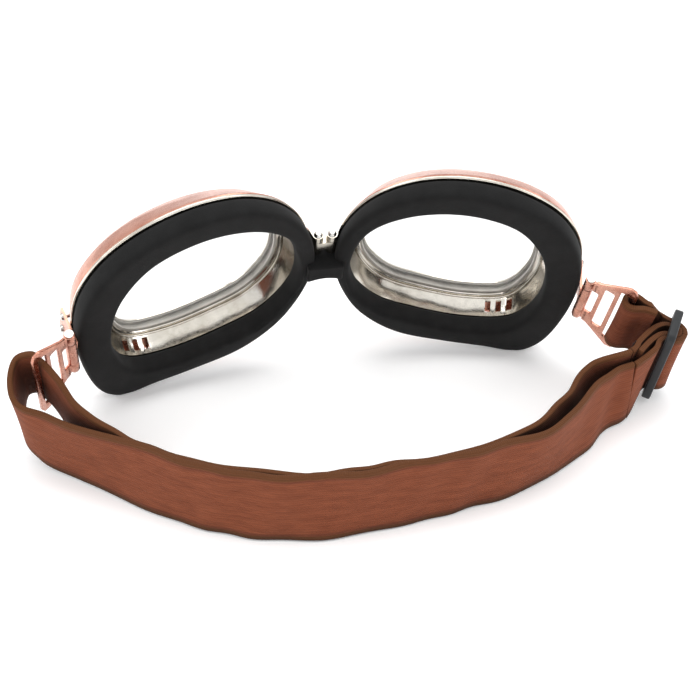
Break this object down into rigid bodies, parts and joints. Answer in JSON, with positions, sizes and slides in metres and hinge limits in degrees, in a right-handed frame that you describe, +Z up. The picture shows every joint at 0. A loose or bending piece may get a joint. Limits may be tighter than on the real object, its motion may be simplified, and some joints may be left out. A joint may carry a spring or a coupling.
{
  "type": "motorcycle goggles",
  "caption": "Split-frame riding goggles with foam-padded metal eye cups hinged at the nose, slotted side brackets and an elastic webbing strap with a slider.",
  "frame": {"origin": "centre of the standing object's plan, on the surface that the strap and the cups' lower edges stand on", "axes": "+X towards the wearer's right eye cup, +Y forwards from the wearer's face, out through the lenses, +Z up"},
  "size_m": [0.227, 0.1164, 0.0871],
  "materials": {
    "copper": "satin",
    "steel": "polished",
    "clear_lens": "clear",
    "rubber": "matte",
    "foam": "matte",
    "webbing": "woven",
    "plastic": "moulded",
    "thread": "sewn"
  },
  "bodies": {
    "right_cup": {"right_cup_shell": "steel", "right_front_cover": "copper", "right_lens": "clear_lens", "right_lens_gasket": "rubber", "right_lens_ring": "steel", "right_face_pad": "foam", "right_hinge_tab": "copper", "right_tab_rivets": "steel", "right_nose_lug": "steel"},
    "right_bracket": {"right_bracket_pin": "steel", "right_strap_bracket": "copper"},
    "left_cup": {"left_cup_shell": "steel", "left_front_cover": "copper", "left_lens": "clear_lens", "left_lens_gasket": "rubber", "left_lens_ring": "steel", "left_face_pad": "foam", "left_hinge_tab": "copper", "left_tab_rivets": "steel", "left_nose_lug": "steel"},
    "left_bracket": {"left_bracket_pin": "steel", "left_strap_bracket": "copper"},
    "bridge": {"nose_link": "steel", "right_nose_pin": "steel", "left_nose_pin": "steel", "nose_pad": "foam"},
    "strap_right": {"strap_right_outer": "webbing", "strap_right_inner": "webbing", "strap_end_loop": "webbing", "end_loop_stitch": "thread"},
    "strap_left": {"strap_left": "webbing"},
    "slider": {"slider": "plastic", "strap_slider_loop": "webbing", "slider_loop_stitch": "thread", "strap_weave": "webbing"}
  },
  "joints": [
    {"name": "right_nose_hinge", "type": "hinge", "parent": "right_cup", "child": "bridge", "pos_m": [-0.00215, 0.03379, 0.0542], "axis": [0, -0.4384, 0.8988], "range_deg": [-4.08, 6.12]},
    {"name": "left_nose_hinge", "type": "hinge", "parent": "bridge", "child": "left_cup", "pos_m": [-0.00695, 0.03379, 0.0542], "axis": [0, -0.4384, 0.8988], "range_deg": [-4, 6]},
    {"name": "right_bracket_hinge", "type": "hinge", "parent": "right_cup", "child": "right_bracket", "pos_m": [0.08315, 0.01506, 0.03297], "axis": [0.0186, -0.4577, 0.8889], "range_deg": [-4.08, 6.12]},
    {"name": "left_bracket_hinge", "type": "hinge", "parent": "left_cup", "child": "left_bracket", "pos_m": [-0.09225, 0.01506, 0.03297], "axis": [-0.0186, -0.4577, 0.8889], "range_deg": [-8, 3]},
    {"name": "right_strap_pivot", "type": "hinge", "parent": "right_bracket", "child": "strap_right", "pos_m": [0.09441, 0.00556, 0.02784], "axis": [0.0186, -0.4577, 0.8889], "range_deg": [-2, 3]},
    {"name": "strap_mid_hinge", "type": "hinge", "parent": "strap_right", "child": "strap_left", "pos_m": [-0.02405, -0.05371, 0.0125], "axis": [0, -0.4384, 0.8988], "range_deg": [-6.73, 4.49]},
    {"name": "slider_slide", "type": "slide", "parent": "strap_right", "child": "slider", "axis": [0.5212, 0.8319, 0.1904], "range_m": [-0.002, 0.002]}
  ],
  "couplings": [
    {"joint": "right_nose_hinge", "follows": "left_nose_hinge", "ratio": 1},
    {"joint": "right_bracket_hinge", "follows": "left_nose_hinge", "ratio": 1},
    {"joint": "right_strap_pivot", "follows": "left_nose_hinge", "ratio": 0.49},
    {"joint": "strap_mid_hinge", "follows": "left_nose_hinge", "ratio": -1.1}
  ]
}
